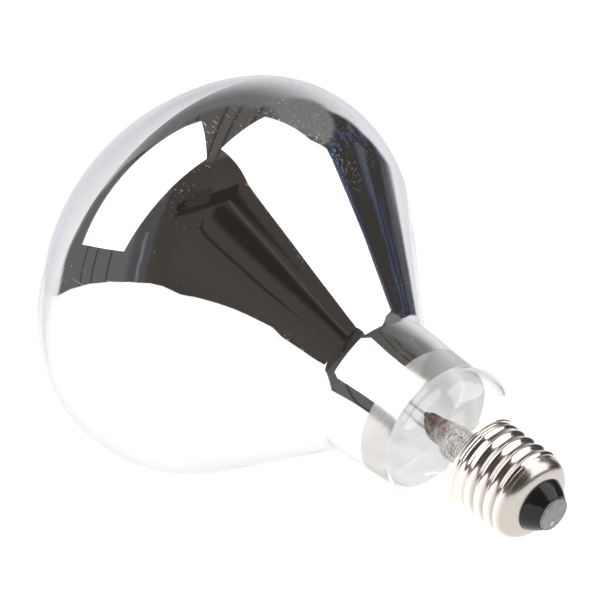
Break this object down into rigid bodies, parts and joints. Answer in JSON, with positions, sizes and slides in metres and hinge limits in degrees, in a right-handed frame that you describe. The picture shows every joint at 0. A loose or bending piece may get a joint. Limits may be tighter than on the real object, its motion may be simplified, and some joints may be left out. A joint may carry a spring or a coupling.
{
  "type": "infrared reflector heat lamp",
  "caption": "Reflector heat lamp for chicks and small livestock: clear front, mirrored bowl and neck, nickel screw cap.",
  "frame": {"origin": "centre of the contact face at the end of the screw cap", "axes": "+Z out of the cap along the lamp's axis, so that the lamp hangs lens down as it does over a brooder; the glass reaches down to -Z"},
  "size_m": [0.125, 0.125, 0.18],
  "materials": {
    "bulb_glass": "clear blown glass, smooth",
    "mirror_film": "aluminium deposited on glass, full mirror",
    "nickel_shell": "rolled brass sheet with bright nickel plate",
    "black_glass": "glossy black glass",
    "contact_metal": "dull grey tinned brass",
    "solder": "small bright solder",
    "cement": "matt basing cement",
    "stem_glass": "clear worked glass, slightly uneven",
    "copper_seal": "oxidised copper under glass",
    "nickel_lead": "nickel wire",
    "copper_lead": "tinned copper wire",
    "tungsten": "drawn tungsten wire",
    "support_metal": "drawn molybdenum wire"
  },
  "bodies": {
    "root": {"glass_envelope": "bulb_glass", "reflector_film": "mirror_film", "screw_shell": "nickel_shell", "insulator": "black_glass", "centre_contact": "contact_metal", "contact_solder": "solder", "rim_solder": "solder", "basing_cement": "cement", "stem_flare": "stem_glass", "exhaust_tube": "stem_glass", "support_cane": "stem_glass", "dumet_seal_a": "copper_seal", "dumet_seal_b": "copper_seal", "inner_lead_a": "nickel_lead", "inner_lead_b": "nickel_lead", "outer_lead_side": "copper_lead", "outer_lead_centre": "copper_lead", "filament": "tungsten", "support_wire_1": "support_metal", "support_wire_2": "support_metal", "support_wire_3": "support_metal", "support_wire_4": "support_metal", "support_wire_5": "support_metal", "support_wire_6": "support_metal"}
  },
  "joints": []
}
